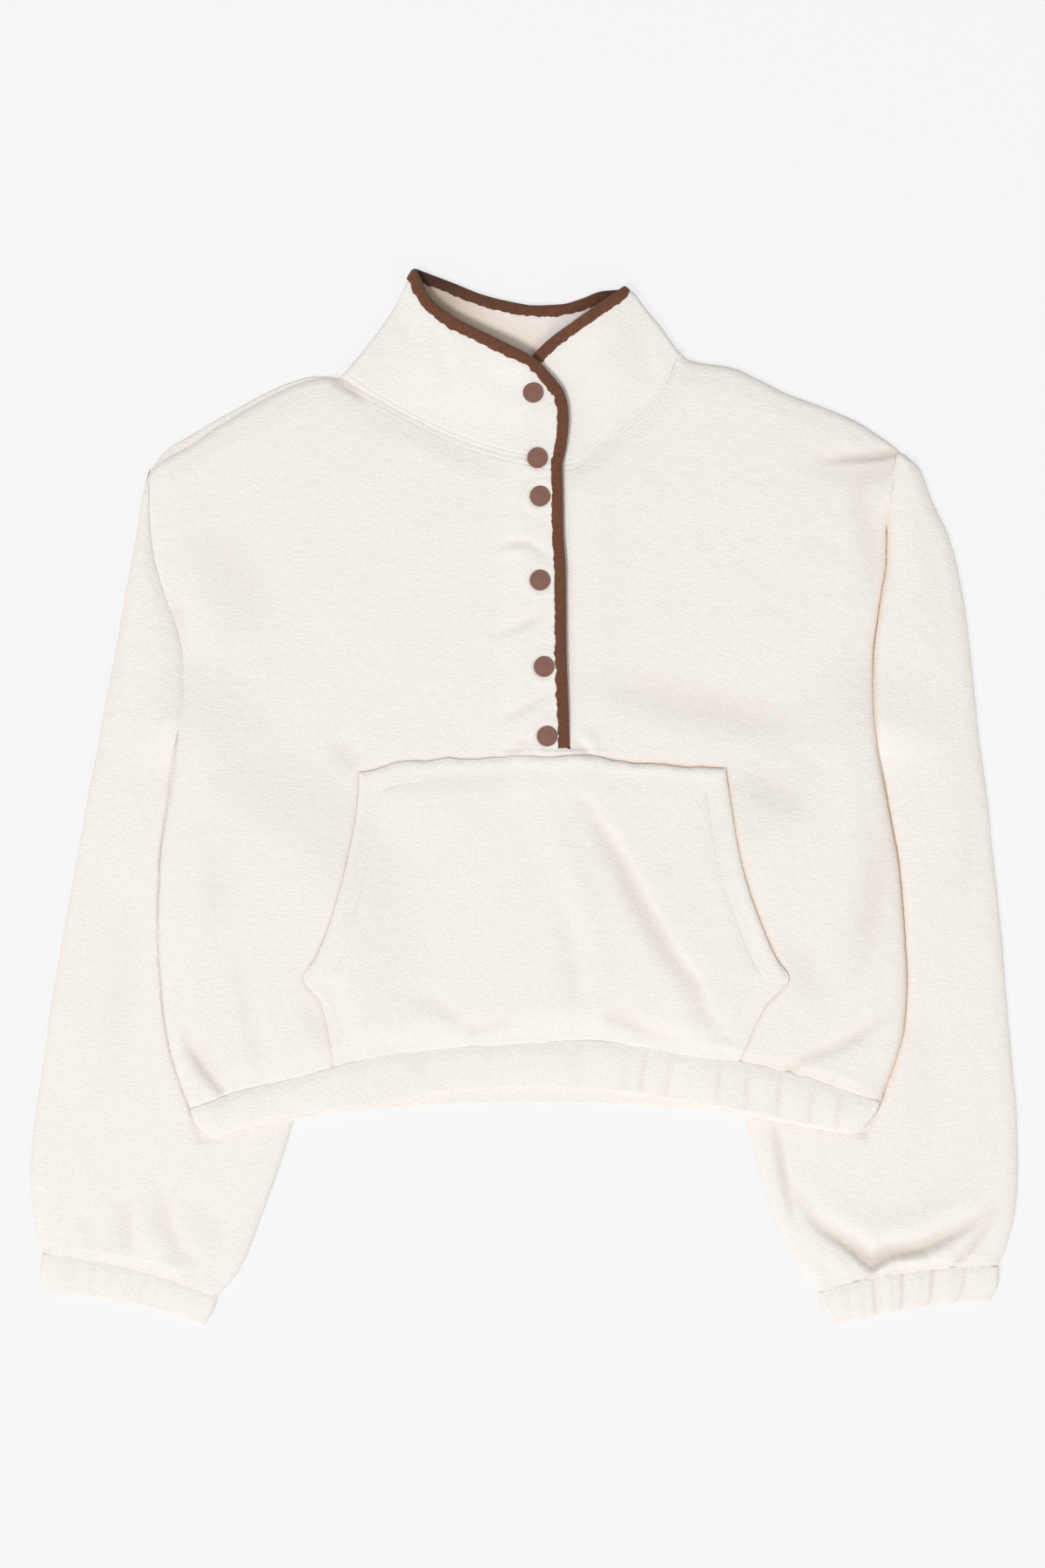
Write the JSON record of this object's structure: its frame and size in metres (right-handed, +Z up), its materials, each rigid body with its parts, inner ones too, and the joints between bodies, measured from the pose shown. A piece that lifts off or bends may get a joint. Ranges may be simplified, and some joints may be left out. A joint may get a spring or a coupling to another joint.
{
  "type": "sherpa fleece pullover",
  "caption": "Cropped high pile fleece pullover laid flat on its back, with a stand collar, a half placket closed by snap caps, a kangaroo pocket, gathered cuffs and a gathered hem band.",
  "frame": {"origin": "bottom centre of the garment's box, on the surface it lies on", "axes": "+X to the wearer's left, +Y to the neck, +Z up from the surface, out of the front"},
  "size_m": [0.7249, 0.7738, 0.0193],
  "materials": {
    "cream_fleece": "matte, curly high pile",
    "collar_fleece": "matte, curly high pile",
    "pocket_fleece": "matte, curly high pile",
    "band_fleece": "matte, curly high pile",
    "brown_binding": "matte, fine woven",
    "mauve_brown_paint": "satin"
  },
  "bodies": {
    "root": {"back": "cream_fleece", "front": "cream_fleece", "pocket": "pocket_fleece", "placket_under": "cream_fleece", "hem_band": "band_fleece", "sleeve_right": "cream_fleece", "sleeve_left": "cream_fleece", "cuff_right": "band_fleece", "cuff_left": "band_fleece", "collar": "collar_fleece", "binding": "brown_binding", "snap_1": "mauve_brown_paint", "snap_2": "mauve_brown_paint", "snap_3": "mauve_brown_paint", "snap_4": "mauve_brown_paint", "snap_5": "mauve_brown_paint", "snap_6": "mauve_brown_paint"}
  },
  "joints": []
}
